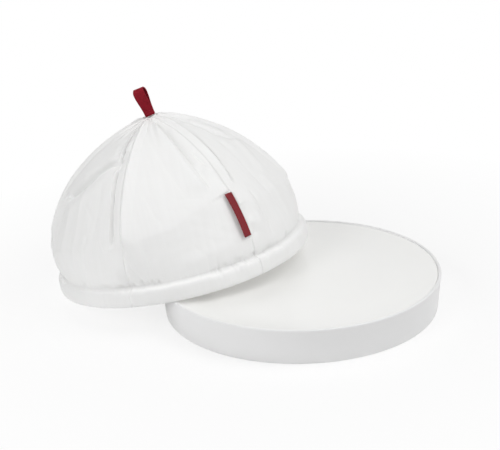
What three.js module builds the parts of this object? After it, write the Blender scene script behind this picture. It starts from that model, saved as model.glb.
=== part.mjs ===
// Round serving tray with a six-gore fabric cloche leaning on its rim.
// Millimetres, +Z up. The origin is the centre of the tray's underside, on the table.
import * as THREE from "three";
import { mergeVertices } from "three/addons/utils/BufferGeometryUtils.js";

// Tray: a moulded wall with a rounded lip, a plate let into it and a closed underside.
const trayTopRadius = 140;
const trayBaseRadius = 136.7;
const trayHeight = 36;
const wallThickness = 3.4;
const footRound = 1.2;
const ledgeWidth = 6;
const ledgeThickness = 3;
const plateThickness = 4;
const plateRecess = 1.1;
const plateRise = 2.1;
const plateFlatRadius = 100;
const grooveWidth = 0.6;
const baseThickness = 2.5;

// Cover: cloth gores over stays, with a hoop in the turned-up hem.
const goreCount = 6;
const hemRadius = 126;
const hemWidth = 11;
const hemHeight = 17;
const domeHeight = 148.5;
const bulge = 4;
const bulgeRadius = hemRadius + bulge;
const domeRisePower = 0.8;
const domeRoundPower = 1.4;
const neckTuck = 3.6;
const neckTuckHeight = 32;
const goreFlatness = 0.4;
const sideSag = 6;
const firstSeamAngle = -109;
const crownOpeningRadius = 7;
const clothThickness = 1.6;
const liningThickness = 1;
const hemTurnStart = 80;
const hemTurnEnd = -232;

// Stays, crown and hoop between the cloth and the lining.
const stayWidth = 8;
const stayThickness = 2.2;
const stayEndHeight = 50;
const crownPatchRadius = 15;

// Pull loop of folded tape at the crown.
const loopWidth = 12;
const loopHeight = 30.5;
const loopTape = 1.4;
const loopGap = 8;
const loopRootThickness = 4;
const loopRootStitch = 5;
const loopLean = 11.5;
const loopYaw = 2;

// Tag of folded tape, sewn by one long edge into the seam to the right of the front gore.
const tagSeam = 1;
const tagTopHeight = 74.5;
const tagDrop = 42.4;
const tagWidth = 8.7;
const tagThickness = 1.2;
const tagOpenAngle = 7;

// Fits: pieces that touch, cloth edges that meet in a seam, and layers of cloth over each other.
const seatGap = 0.3;
const seamGap = 0.4;
const layerGap = 0.8;

// How the cover leans: its offset from the tray's axis and the side that its hem is lowest on.
const leanOffset = 134.8;
const leanAzimuth = 154.3;

// Facets round the tray and the crown patch, and along and across the cloth.
const trayFacets = 64;
const crownFacets = 24;
const hoopSides = 8;
const domeSteps = 14;
const hemSteps = 9;
const goreSteps = 8;
const liningSteps = 7;
const liningGoreSteps = 4;
const staySteps = 7;
const tagSteps = 6;
const arcSteps = 4;
const slopeStep = 0.001;
const mergeTolerance = 0.001;

// Search for the leaning pose: least and greatest tilt, halvings, and points round the hem and its roll.
const leastTilt = 1;
const greatestTilt = 45;
const tiltHalvings = 30;
const hemSamples = 360;
const rollSamples = 24;

// Main folds of the cloth. A fold runs between two points, each a share of the gore's width from its
// middle and a height above the hem, and stands out (or is drawn in) by its depth over its spread.
const folds = [
  { gore: 0, from: [-0.4, 58], to: [0.38, 70], depth: 2.6, spread: 15 },
  { gore: 0, from: [0.12, 132], to: [0.3, 104], depth: -1.6, spread: 12 },
  { gore: 1, from: [-0.35, 60], to: [0.4, 52], depth: 2.8, spread: 16 },
  { gore: 1, from: [-0.3, 122], to: [0.1, 92], depth: -1.2, spread: 12 },
  { gore: 2, from: [-0.35, 48], to: [0.35, 62], depth: 2.4, spread: 16 },
  { gore: 3, from: [-0.3, 66], to: [0.35, 50], depth: 2.4, spread: 16 },
  { gore: 4, from: [-0.35, 46], to: [0.4, 40], depth: 2.6, spread: 16 },
  { gore: 5, from: [0.4, 118], to: [-0.35, 84], depth: -1.3, spread: 13 },
  { gore: 5, from: [-0.35, 42], to: [0.3, 48], depth: 2.4, spread: 16 },
];

const radians = THREE.MathUtils.degToRad;
const gorePitch = (2 * Math.PI) / goreCount;
const hemHalfWidth = hemWidth / 2;
const hemHalfHeight = hemHeight / 2;

function material(colour, roughness) {
  return new THREE.MeshStandardMaterial({ color: colour, roughness, metalness: 0 });
}

function addPiece(group, name, geometry, colour, roughness) {
  const mesh = new THREE.Mesh(geometry, material(colour, roughness));
  mesh.name = name;
  group.add(mesh);
  return mesh;
}

// A closed profile of radius and height pairs, turned about the Z axis.
function turned(profile, facets) {
  const points = profile.map(([r, z]) => new THREE.Vector2(r, z));
  return new THREE.LatheGeometry(points, facets).rotateX(Math.PI / 2);
}

// Points of a round corner, from one angle to another in degrees.
function arc(centreRadius, centreHeight, radius, fromAngle, toAngle) {
  const points = [];
  for (let i = 0; i <= arcSteps; i += 1) {
    const angle = radians(fromAngle + ((toAngle - fromAngle) * i) / arcSteps);
    points.push([centreRadius + radius * Math.cos(angle), centreHeight + radius * Math.sin(angle)]);
  }
  return points;
}

// Closed solid between an outer and an inner grid of points with the same rows and columns.
function sheetSolid(outer, inner) {
  const rows = outer.length;
  const columns = outer[0].length;
  const positions = [];
  outer.forEach((row) => row.forEach((p) => positions.push(p.x, p.y, p.z)));
  inner.forEach((row) => row.forEach((p) => positions.push(p.x, p.y, p.z)));
  const at = (side, i, j) => side * rows * columns + i * columns + j;
  const indices = [];
  const quad = (a, b, c, d) => indices.push(a, b, c, a, c, d);
  for (let i = 0; i + 1 < rows; i += 1) {
    for (let j = 0; j + 1 < columns; j += 1) {
      quad(at(0, i, j), at(0, i + 1, j), at(0, i + 1, j + 1), at(0, i, j + 1));
      quad(at(1, i, j), at(1, i, j + 1), at(1, i + 1, j + 1), at(1, i + 1, j));
    }
  }
  for (let i = 0; i + 1 < rows; i += 1) {
    const last = columns - 1;
    quad(at(0, i, 0), at(1, i, 0), at(1, i + 1, 0), at(0, i + 1, 0));
    quad(at(0, i, last), at(0, i + 1, last), at(1, i + 1, last), at(1, i, last));
  }
  for (let j = 0; j + 1 < columns; j += 1) {
    const last = rows - 1;
    quad(at(0, 0, j), at(0, 0, j + 1), at(1, 0, j + 1), at(1, 0, j));
    quad(at(0, last, j), at(1, last, j), at(1, last, j + 1), at(0, last, j + 1));
  }
  const geometry = new THREE.BufferGeometry();
  geometry.setAttribute("position", new THREE.Float32BufferAttribute(positions, 3));
  geometry.setIndex(indices);
  return geometry;
}

// Tray wall, inside and outside

const wallSlope = (trayTopRadius - trayBaseRadius) / trayHeight;
const lipRound = wallThickness / 2;
const plateEdgeTop = trayHeight - plateRecess;
const plateBottom = plateEdgeTop - plateRise - plateThickness;
const ledgeTop = plateBottom - seatGap;
const lipInnerRadius = trayTopRadius - wallThickness;
const ledgeInnerRadius = lipInnerRadius - ledgeWidth;
const wallInnerRadius = (z) => trayBaseRadius + wallSlope * z - wallThickness;

function trayShell() {
  const lipCentre = trayTopRadius - lipRound;
  const ledgeBottom = ledgeTop - ledgeThickness;
  return turned(
    [
      [wallInnerRadius(0), 0],
      ...arc(trayBaseRadius - footRound, footRound, footRound, -90, 0),
      ...arc(lipCentre, trayHeight - lipRound, lipRound, 0, 180),
      [lipInnerRadius, ledgeTop],
      [ledgeInnerRadius, ledgeTop],
      [ledgeInnerRadius, ledgeBottom],
      [wallInnerRadius(ledgeBottom - ledgeWidth), ledgeBottom - ledgeWidth],
      [wallInnerRadius(0), 0],
    ],
    trayFacets,
  );
}

// The plate is flat in the middle and rises to its edge.
function servingPlate() {
  const edgeRadius = lipInnerRadius - grooveWidth;
  const middleTop = plateEdgeTop - plateRise;
  const halfRise = (plateFlatRadius + edgeRadius) / 2;
  return turned(
    [
      [0, plateBottom],
      [edgeRadius, plateBottom],
      [edgeRadius, plateEdgeTop],
      [halfRise, middleTop + plateRise / 4],
      [plateFlatRadius, middleTop],
      [0, middleTop],
    ],
    trayFacets,
  );
}

function basePlate() {
  const edgeRadius = wallInnerRadius(0) - seatGap;
  return turned(
    [
      [0, 0],
      [edgeRadius, 0],
      [edgeRadius, baseThickness],
      [0, baseThickness],
    ],
    trayFacets,
  );
}

// Cover, in its own frame: Z is the dome's axis and the origin is the centre of the hem roll

// Radius and height of the dome over a seam, with the turn running from the crown to the neck.
function domeMeridian(turn) {
  const height = domeHeight * Math.sin(turn) ** domeRisePower;
  const tuck = neckTuck * THREE.MathUtils.smoothstep(neckTuckHeight - height, 0, neckTuckHeight);
  return [bulgeRadius * Math.cos(turn) ** domeRoundPower - tuck, height];
}

const turnAtHeight = (height) => Math.asin((height / domeHeight) ** (1 / domeRisePower));
const turnAtRadius = (radius) => Math.acos((radius / bulgeRadius) ** (1 / domeRoundPower));
const crownTurn = turnAtRadius(crownOpeningRadius);
const neckTurn = turnAtHeight(hemHalfHeight + clothThickness);
const crownHeight = domeMeridian(crownTurn)[1];

// The dome sags towards its low side, and each gore lies flatter than a circle between its seams.
function dome(turn, azimuth) {
  const [seamRadius, height] = domeMeridian(turn);
  const middle = Math.sin((Math.PI * height) / domeHeight);
  const acrossGore = THREE.MathUtils.euclideanModulo(azimuth - radians(firstSeamAngle), gorePitch);
  const flatRadius = (seamRadius * Math.cos(gorePitch / 2)) / Math.cos(acrossGore - gorePitch / 2);
  const flattening = goreFlatness * middle * (seamRadius - flatRadius);
  const sag = sideSag * middle * Math.cos(azimuth - radians(leanAzimuth));
  return [seamRadius - flattening + sag, height];
}

// Height that the folds stand out from the dome, at a share of the gore's width and a turn.
function foldRelief(gore, share, turn) {
  const [radius, height] = domeMeridian(turn);
  const here = new THREE.Vector2(share * gorePitch * radius, height);
  return folds
    .filter((fold) => fold.gore === gore)
    .map((fold) => {
      const ends = [fold.from, fold.to].map(([endShare, endHeight]) => {
        const endRadius = domeMeridian(turnAtHeight(endHeight))[0];
        return new THREE.Vector2(endShare * gorePitch * endRadius, endHeight);
      });
      const along = ends[1].clone().sub(ends[0]);
      const reach = here.clone().sub(ends[0]).dot(along) / along.lengthSq();
      const nearest = ends[0].clone().addScaledVector(along, THREE.MathUtils.clamp(reach, 0, 1));
      return fold.depth * Math.exp(-((here.distanceTo(nearest) / fold.spread) ** 2));
    })
    .reduce((sum, depth) => sum + depth, 0);
}

// A point of the dome, moved square to its meridian: outwards if the offset is positive.
function domePoint(turn, azimuth, offset) {
  const before = dome(turn + slopeStep, azimuth);
  const after = dome(turn - slopeStep, azimuth);
  const along = new THREE.Vector2(after[0] - before[0], after[1] - before[1]).normalize();
  const [radius, height] = dome(turn, azimuth);
  const r = radius - along.y * offset;
  return new THREE.Vector3(r * Math.cos(azimuth), r * Math.sin(azimuth), height + along.x * offset);
}

function hemPoint(turn, azimuth, inset) {
  const r = hemRadius + (hemHalfWidth - inset) * Math.cos(turn);
  const z = (hemHalfHeight - inset) * Math.sin(turn);
  return new THREE.Vector3(r * Math.cos(azimuth), r * Math.sin(azimuth), z);
}

const seamAzimuth = (gore) => radians(firstSeamAngle) + gore * gorePitch;

// Azimuth at a share of the gore's width, which keeps half a seam gap free at each edge.
function goreAzimuth(gore, share, radius) {
  const halfWidth = gorePitch / 2 - seamGap / 2 / radius;
  return seamAzimuth(gore) + gorePitch / 2 + 2 * share * halfWidth;
}

// Rows of turns from the crown down to the neck.
function turnsDown(fromTurn, toTurn, steps) {
  return Array.from({ length: steps + 1 }, (_, i) => fromTurn + ((toTurn - fromTurn) * i) / steps);
}

// One gore of the outer cloth, from the crown down over the dome and round the hoop. Its folds die out
// at the crown, the hem and the seams, where it is held.
function outerPanel(gore) {
  const shares = Array.from({ length: goreSteps + 1 }, (_, j) => j / goreSteps - 0.5);
  const outer = [];
  const inner = [];
  turnsDown(crownTurn, neckTurn, domeSteps).forEach((turn) => {
    const radius = domeMeridian(turn)[0];
    const held = Math.sin((Math.PI * domeMeridian(turn)[1]) / domeHeight);
    const relief = (share) => foldRelief(gore, share, turn) * held * Math.cos(Math.PI * share);
    const azimuth = (share) => goreAzimuth(gore, share, radius);
    outer.push(shares.map((share) => domePoint(turn, azimuth(share), relief(share))));
    inner.push(shares.map((share) => domePoint(turn, azimuth(share), relief(share) - clothThickness)));
  });
  turnsDown(radians(hemTurnStart), radians(hemTurnEnd), hemSteps).forEach((turn) => {
    const azimuth = (share) => goreAzimuth(gore, share, hemRadius - hemHalfWidth);
    outer.push(shares.map((share) => hemPoint(turn, azimuth(share), 0)));
    inner.push(shares.map((share) => hemPoint(turn, azimuth(share), clothThickness)));
  });
  return sheetSolid(outer, inner);
}

// Depths below the outer cloth's face at which the layers inside it lie.
const stayDepth = clothThickness + layerGap;
const liningDepth = stayDepth + stayThickness + layerGap;

function liningPanel(gore) {
  const shares = Array.from({ length: liningGoreSteps + 1 }, (_, j) => j / liningGoreSteps - 0.5);
  const grid = (depth) =>
    turnsDown(crownTurn, neckTurn, liningSteps).map((turn) => {
      const radius = domeMeridian(turn)[0] - liningDepth;
      return shares.map((share) => domePoint(turn, goreAzimuth(gore, share, radius), -depth));
    });
  return sheetSolid(grid(liningDepth), grid(liningDepth + liningThickness));
}

// A strip behind one seam, bent over the ridge between two gores.
function seamStay(seam) {
  const topRadius = crownPatchRadius + stayThickness + seatGap;
  const topTurn = turnAtRadius(topRadius);
  const sides = [-stayWidth / 2, 0, stayWidth / 2];
  const grid = (depth) =>
    turnsDown(topTurn, turnAtHeight(stayEndHeight), staySteps).map((turn) => {
      const radius = domeMeridian(turn)[0];
      return sides.map((side) => domePoint(turn, seamAzimuth(seam) + side / radius, -depth));
    });
  return sheetSolid(grid(stayDepth), grid(stayDepth + stayThickness));
}

function hemHoop() {
  const halfWidth = hemHalfWidth - clothThickness - layerGap;
  const halfHeight = hemHalfHeight - clothThickness - layerGap;
  const section = [];
  for (let i = 0; i <= hoopSides; i += 1) {
    const angle = (2 * Math.PI * i) / hoopSides;
    section.push([hemRadius + halfWidth * Math.cos(angle), halfHeight * Math.sin(angle)]);
  }
  return turned(section, goreCount * goreSteps).rotateZ(radians(firstSeamAngle));
}

// A round patch under the crown, with a plug of gathered cloth that fills the crown's opening.
const plugTop = crownHeight;

function crownPatch() {
  const plugRadius = crownOpeningRadius - seatGap - seamGap / 2;
  const shoulder = (radius) => domeMeridian(turnAtRadius(radius))[1] - stayDepth;
  const rimTop = shoulder(crownPatchRadius);
  const middleTop = shoulder(crownOpeningRadius);
  return turned(
    [
      [0, middleTop - stayThickness],
      [plugRadius, middleTop - stayThickness],
      [crownPatchRadius, rimTop - stayThickness],
      [crownPatchRadius, rimTop],
      [plugRadius, middleTop],
      [plugRadius, plugTop],
      [0, plugTop],
    ],
    crownFacets,
  );
}

// The loop's outline: tape folded round a bead at the top and closed to a round root at the bottom.
function loopOutline(rootRadius, rootHeight, topRadius, topHeight, path) {
  const rise = topHeight - rootHeight;
  const flank = Math.asin((topRadius - rootRadius) / rise);
  path.absarc(0, topHeight, topRadius, -flank, Math.PI + flank, false);
  path.absarc(0, rootHeight, rootRadius, Math.PI + flank, 2 * Math.PI - flank, false);
  path.closePath();
  return path;
}

const loopRootRadius = loopRootThickness / 2;

function pullLoop() {
  const outerRadius = loopGap / 2 + loopTape;
  const foldHeight = loopHeight - loopRootRadius - outerRadius;
  const outline = loopOutline(loopRootRadius, 0, outerRadius, foldHeight, new THREE.Shape());
  const innerRoot = loopRootRadius - loopTape;
  outline.holes.push(loopOutline(innerRoot, loopRootStitch, loopGap / 2, foldHeight, new THREE.Path()));
  const geometry = new THREE.ExtrudeGeometry(outline, {
    depth: loopWidth,
    bevelEnabled: false,
    curveSegments: 2 * arcSteps,
  });
  return geometry.translate(0, 0, -loopWidth / 2);
}

// Tape lying along the seam, its free edge standing a little off the front gore.
function sideTag() {
  const seam = seamAzimuth(tagSeam);
  const bottomTurn = turnAtHeight(tagTopHeight - tagDrop);
  const rows = turnsDown(turnAtHeight(tagTopHeight), bottomTurn, tagSteps);
  const grid = (lift) =>
    rows.map((turn) => {
      const root = domePoint(turn, seam, seatGap + lift);
      const outward = domePoint(turn, seam, 1).sub(domePoint(turn, seam, 0));
      const across = new THREE.Vector3(Math.sin(seam), -Math.cos(seam), 0);
      const open = radians(tagOpenAngle);
      const free = root.clone().addScaledVector(across, tagWidth * Math.cos(open));
      return [free.addScaledVector(outward, tagWidth * Math.sin(open)), root];
    });
  return sheetSolid(grid(tagThickness), grid(0));
}

// Leaning pose: the hem's lowest point is on the table and its underside rests on the tray's lip.

function hemCentreHeight(tilt) {
  const reach = Math.hypot(hemHalfWidth * Math.sin(tilt), hemHalfHeight * Math.cos(tilt));
  return hemRadius * Math.sin(tilt) + reach + seatGap;
}

function coverPose(tilt) {
  const azimuth = radians(leanAzimuth);
  const hinge = new THREE.Vector3(-Math.sin(azimuth), Math.cos(azimuth), 0);
  return {
    position: new THREE.Vector3(
      leanOffset * Math.cos(azimuth),
      leanOffset * Math.sin(azimuth),
      hemCentreHeight(tilt),
    ),
    turn: new THREE.Quaternion().setFromAxisAngle(hinge, tilt),
  };
}

// Least distance from the hem roll to the tray, taken as a cone with a square rim.
function hemToTray(tilt) {
  const pose = coverPose(tilt);
  let least = Infinity;
  for (let i = 0; i < hemSamples; i += 1) {
    for (let j = 0; j < rollSamples; j += 1) {
      const azimuth = (2 * Math.PI * i) / hemSamples;
      const point = hemPoint((2 * Math.PI * j) / rollSamples, azimuth, 0);
      point.applyQuaternion(pose.turn).add(pose.position);
      const wallRadius = trayBaseRadius + wallSlope * Math.min(point.z, trayHeight);
      const out = Math.hypot(point.x, point.y) - wallRadius;
      const up = point.z - trayHeight;
      const inside = out < 0 && up < 0;
      const apart = Math.hypot(Math.max(out, 0), Math.max(up, 0));
      least = Math.min(least, inside ? Math.max(out, up) : apart);
    }
  }
  return least;
}

function restingTilt() {
  let low = radians(leastTilt);
  let high = radians(greatestTilt);
  for (let i = 0; i < tiltHalvings; i += 1) {
    const middle = (low + high) / 2;
    if (hemToTray(middle) < seatGap) low = middle;
    else high = middle;
  }
  return high;
}

// Assembly

const white = 0xeeeeec;
const clothWhite = 0xf1f1ef;
const liningWhite = 0xe6e4de;
const stayWhite = 0xdedfe0;
const tapeRed = 0x84202c;
const plateRoughness = 0.25;
const trayRoughness = 0.35;
const stayRoughness = 0.5;
const tapeRoughness = 0.8;
const clothRoughness = 0.9;

const part = new THREE.Group();
addPiece(part, "tray_shell", trayShell(), white, trayRoughness);
addPiece(part, "serving_plate", servingPlate(), white, plateRoughness);
addPiece(part, "base_plate", basePlate(), white, trayRoughness);

const cover = new THREE.Group();
const pose = coverPose(restingTilt());
cover.position.copy(pose.position);
cover.quaternion.copy(pose.turn);
part.add(cover);

for (let gore = 0; gore < goreCount; gore += 1) {
  addPiece(cover, `outer_panel_${gore + 1}`, outerPanel(gore), clothWhite, clothRoughness);
  addPiece(cover, `lining_panel_${gore + 1}`, liningPanel(gore), liningWhite, clothRoughness);
  addPiece(cover, `seam_stay_${gore + 1}`, seamStay(gore), stayWhite, stayRoughness);
}
addPiece(cover, "hem_hoop", hemHoop(), stayWhite, stayRoughness);
addPiece(cover, "crown_patch", crownPatch(), clothWhite, clothRoughness);

const loop = addPiece(cover, "pull_loop", pullLoop(), tapeRed, tapeRoughness);
const loopRootLift = (loopWidth / 2) * Math.sin(radians(loopLean));
loop.position.z = plugTop + seatGap + loopRootRadius + loopRootLift;
const upAxis = new THREE.Vector3(0, 0, 1);
loop.rotateOnWorldAxis(new THREE.Vector3(1, 0, 0), Math.PI / 2);
loop.rotateOnWorldAxis(upAxis, Math.PI / 2);
loop.rotateOnWorldAxis(new THREE.Vector3(0, 1, 0), -radians(loopLean));
loop.rotateOnWorldAxis(upAxis, radians(loopYaw));

addPiece(cover, "side_tag", sideTag(), tapeRed, tapeRoughness);

part.traverse((piece) => {
  if (!piece.isMesh) return;
  piece.geometry.deleteAttribute("normal");
  piece.geometry.deleteAttribute("uv");
  piece.geometry = mergeVertices(piece.geometry, mergeTolerance);
  piece.geometry.computeVertexNormals();
});

export default part;
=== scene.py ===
import math

import bmesh
import bpy
import numpy as np
from mathutils import Matrix, Vector


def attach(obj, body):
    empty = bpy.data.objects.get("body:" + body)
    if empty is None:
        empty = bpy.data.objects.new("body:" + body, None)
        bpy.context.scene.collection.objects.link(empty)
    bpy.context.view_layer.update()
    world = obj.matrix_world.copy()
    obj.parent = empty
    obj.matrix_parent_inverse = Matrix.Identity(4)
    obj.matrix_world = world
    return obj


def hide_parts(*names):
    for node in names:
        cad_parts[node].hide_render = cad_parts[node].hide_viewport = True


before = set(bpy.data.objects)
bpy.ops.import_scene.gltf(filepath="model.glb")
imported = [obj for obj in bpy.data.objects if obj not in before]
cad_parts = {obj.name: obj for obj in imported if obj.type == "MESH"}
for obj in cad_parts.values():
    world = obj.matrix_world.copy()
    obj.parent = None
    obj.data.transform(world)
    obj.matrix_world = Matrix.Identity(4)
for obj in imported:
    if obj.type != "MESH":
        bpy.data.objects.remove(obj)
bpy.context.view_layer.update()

# Tray shell: the round wall with its rounded lip and, inside, the ledge that carries the plate.
# One moulding in white plastic with a satin skin. It stands on its foot and nothing fixes it.
MM = 0.001
TRAY_TOP_RADIUS = 140.0
TRAY_BASE_RADIUS = 136.7
TRAY_HEIGHT = 36.0
WALL = 3.4
WALL_RINGS = (8.0, 16.0, 24.0, 30.0)
FOOT_ROUND = 1.2
LEDGE_WIDTH = 6.0
LEDGE_THICKNESS = 3.0
PLATE_RECESS = 1.1
PLATE_RISE = 2.1
PLATE_THICKNESS = 4.0
SEAT_GAP = 0.3
LIP_ROUND = WALL / 2
LIP_STEPS = 16
LIP_INNER_RADIUS = TRAY_TOP_RADIUS - WALL
PLATE_EDGE_TOP = TRAY_HEIGHT - PLATE_RECESS
PLATE_BOTTOM = PLATE_EDGE_TOP - PLATE_RISE - PLATE_THICKNESS
WALL_SLOPE = (TRAY_TOP_RADIUS - TRAY_BASE_RADIUS) / TRAY_HEIGHT
TRAY_STEPS = 240
SHARP_EDGE = math.radians(40)
WELD = 1e-7


def corner(radius, height, size, start, end, steps=8):
    """Points of a round corner about a centre, from one angle to another in degrees."""
    angles = np.radians(np.linspace(start, end, steps + 1))
    return [(radius + size * math.cos(a), height + size * math.sin(a)) for a in angles]


def new_piece(name, points, faces, finish):
    """A smooth mesh from points in millimetres, with its faces turned outwards."""
    mesh = bpy.data.meshes.new(name)
    mesh.from_pydata((np.asarray(points, float) * MM).tolist(), [], faces)
    body = bmesh.new()
    body.from_mesh(mesh)
    bmesh.ops.remove_doubles(body, verts=body.verts, dist=WELD)
    bmesh.ops.recalc_face_normals(body, faces=body.faces)
    body.to_mesh(mesh)
    body.free()
    mesh.shade_smooth()
    mesh.materials.append(finish)
    piece = bpy.data.objects.new(name, mesh)
    bpy.context.scene.collection.objects.link(piece)
    return piece


def grid_faces(rows, columns, closed=False):
    """Faces of a grid of points, joined round its columns where it is closed."""
    across = columns if closed else columns - 1
    return [
        (i * columns + j, i * columns + (j + 1) % columns,
         (i + 1) * columns + (j + 1) % columns, (i + 1) * columns + j)
        for i in range(rows - 1)
        for j in range(across)
    ]


def capped_faces(rows, columns):
    """Faces of a grid that is joined round its columns, with its first and last rows closed."""
    last = (rows - 1) * columns
    return grid_faces(rows, columns, closed=True) + [
        tuple(range(columns - 1, -1, -1)), tuple(range(last, last + columns)),
    ]


def columned(values, columns):
    """A value for each row of a grid, repeated across its columns."""
    return np.repeat(values[:, None], columns, axis=1)


def around(radius, angle, height):
    """Points at a radius and an angle round an axis, and at a height along it."""
    return np.stack([radius * np.cos(angle), radius * np.sin(angle), height], axis=-1)


def turned(name, profile, finish):
    """A profile of radius and height pairs, turned about the tray's axis."""
    radius, height = (columned(values, TRAY_STEPS) for values in np.array(profile, float).T)
    angle = np.arange(TRAY_STEPS) * 2 * np.pi / TRAY_STEPS
    faces = grid_faces(len(profile), TRAY_STEPS, closed=True)
    piece = new_piece(name, around(radius, angle, height).reshape(-1, 3), faces, finish)
    piece.data.set_sharp_from_angle(angle=SHARP_EDGE)
    return piece


def new_group(name, inputs):
    """A node group for a skin: its tree, the sockets it is given and the sockets it gives."""
    group = bpy.data.node_groups.new(name, "ShaderNodeTree")
    for label, value in inputs.items():
        kind = "NodeSocketColor" if isinstance(value, tuple) else "NodeSocketFloat"
        socket = group.interface.new_socket(label, in_out="INPUT", socket_type=kind)
        socket.default_value = value
    group.interface.new_socket("Colour", in_out="OUTPUT", socket_type="NodeSocketColor")
    group.interface.new_socket("Roughness", in_out="OUTPUT", socket_type="NodeSocketFloat")
    group.interface.new_socket("Grain", in_out="OUTPUT", socket_type="NodeSocketFloat")
    return group, group.nodes.new("NodeGroupInput").outputs, group.nodes.new("NodeGroupOutput").inputs


def feed(tree, sockets, values):
    """Gives each named socket its value, or links it to the socket that is given for it."""
    for label, value in values.items():
        if isinstance(value, bpy.types.NodeSocket):
            tree.links.new(value, sockets[label])
        else:
            sockets[label].default_value = value


def new_node(tree, kind, values):
    node = tree.nodes.new("ShaderNode" + kind)
    feed(tree, node.inputs, values)
    return node


def noise_node(tree, vector, scale, detail, roughness=0.5):
    inputs = {"Vector": vector, "Scale": scale, "Detail": detail, "Roughness": roughness}
    return new_node(tree, "TexNoise", inputs).outputs["Fac"]


def math_node(tree, operation, *values):
    node = new_node(tree, "Math", dict(enumerate(values)))
    node.operation = operation
    return node.outputs[0]


def weighted_sum(tree, *parts):
    """The sum of values, each times its weight."""
    total, *others = [math_node(tree, "MULTIPLY", value, weight) for value, weight in parts]
    for part in others:
        total = math_node(tree, "ADD", total, part)
    return total


def mix_colour(tree, share, first, second):
    node = tree.nodes.new("ShaderNodeMix")
    node.data_type = "RGBA"
    feed(tree, node.inputs, {0: share, 6: first, 7: second})
    return node.outputs[2]


def range_node(tree, value, low, high, to_low=0.0, to_high=1.0):
    inputs = dict(enumerate((value, low, high, to_low, to_high)))
    return new_node(tree, "MapRange", inputs).outputs[0]


# Skin of moulded plastic: faint flow clouds in the colour, uneven gloss and a very fine grain.
moulded_skin, skin_in, skin_out = new_group("moulded_skin", {
    "Colour": (0.8, 0.8, 0.8, 1), "Cloud colour": (0.7, 0.7, 0.7, 1), "Gloss": 0.3, "Dull": 0.4,
})
skin_place = moulded_skin.nodes.new("ShaderNodeTexCoord").outputs["Object"]
flow_cloud = noise_node(moulded_skin, skin_place, scale=11.0, detail=3.0)
cloudy = range_node(moulded_skin, flow_cloud, low=0.35, high=0.75)
gloss_patch = noise_node(moulded_skin, skin_place, scale=46.0, detail=4.0)
feed(moulded_skin, skin_out, {
    "Colour": mix_colour(moulded_skin, cloudy, skin_in["Colour"], skin_in["Cloud colour"]),
    "Roughness": range_node(moulded_skin, gloss_patch, 0.3, 0.7, skin_in["Gloss"], skin_in["Dull"]),
    "Grain": noise_node(moulded_skin, skin_place, scale=1900.0, detail=2.0),
})


def surface(name, group, values, bump, bump_height, settings):
    """A material whose colour, roughness and relief come from a group, over fixed shader settings."""
    finish = bpy.data.materials.new(name)
    finish.use_nodes = True
    tree = finish.node_tree
    skin = tree.nodes.new("ShaderNodeGroup")
    skin.node_tree = group
    feed(tree, skin.inputs, values)
    height = skin.outputs["Grain"]
    relief = new_node(tree, "Bump", {"Strength": bump, "Distance": bump_height, "Height": height})
    feed(tree, tree.nodes["Principled BSDF"].inputs, {
        "Base Color": skin.outputs["Colour"], "Roughness": skin.outputs["Roughness"],
        "Normal": relief.outputs["Normal"], **settings,
    })
    return finish


satin_white = surface(
    "satin_white_plastic", moulded_skin,
    {"Colour": (0.81, 0.81, 0.81, 1), "Cloud colour": (0.795, 0.795, 0.795, 1), "Gloss": 0.36, "Dull": 0.44},
    bump=0.12, bump_height=0.00005, settings={"IOR": 1.46},
)
wall_inner = TRAY_BASE_RADIUS - WALL
ledge_top = PLATE_BOTTOM - SEAT_GAP
ledge_bottom = ledge_top - LEDGE_THICKNESS
ledge_inner = LIP_INNER_RADIUS - LEDGE_WIDTH
brace_foot = ledge_bottom - LEDGE_WIDTH
tray_shell = turned(
    "tray_wall",
    [(wall_inner, 0.0)]
    + corner(TRAY_BASE_RADIUS - FOOT_ROUND, FOOT_ROUND, FOOT_ROUND, -90, 0)
    + [(TRAY_BASE_RADIUS + WALL_SLOPE * z, z) for z in WALL_RINGS]
    + corner(TRAY_TOP_RADIUS - LIP_ROUND, TRAY_HEIGHT - LIP_ROUND, LIP_ROUND, 0, 180, LIP_STEPS)
    + [(LIP_INNER_RADIUS, ledge_top), (ledge_inner, ledge_top), (ledge_inner, ledge_bottom)]
    + [(wall_inner + WALL_SLOPE * brace_foot, brace_foot), (wall_inner, 0.0)],
    satin_white,
)
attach(tray_shell, "tray")
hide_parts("tray_shell")

# Base plate: a flat disc that closes the underside, let into the foot of the wall.
# The same white moulding, with a softened edge and a shallow ring pressed into its lower face.
BASE_THICKNESS = 2.5
BASE_EDGE_ROUND = 0.5
BASE_EDGE_STEPS = 4
BASE_RING = (112.0, 116.0)
BASE_RING_DEPTH = 0.5
base_edge = wall_inner - SEAT_GAP
base_round = base_edge - BASE_EDGE_ROUND
ring_inner, ring_outer = BASE_RING
base_plate = turned(
    "base_disc",
    [(0.0, 0.0), (ring_inner, 0.0), (ring_inner + BASE_RING_DEPTH, BASE_RING_DEPTH),
     (ring_outer - BASE_RING_DEPTH, BASE_RING_DEPTH), (ring_outer, 0.0)]
    + corner(base_round, BASE_EDGE_ROUND, BASE_EDGE_ROUND, -90, 0, BASE_EDGE_STEPS)
    + corner(base_round, BASE_THICKNESS - BASE_EDGE_ROUND, BASE_EDGE_ROUND, 0, 90, BASE_EDGE_STEPS)
    + [(0.0, BASE_THICKNESS)],
    satin_white,
)
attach(base_plate, "tray")
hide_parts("base_plate")

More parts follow.
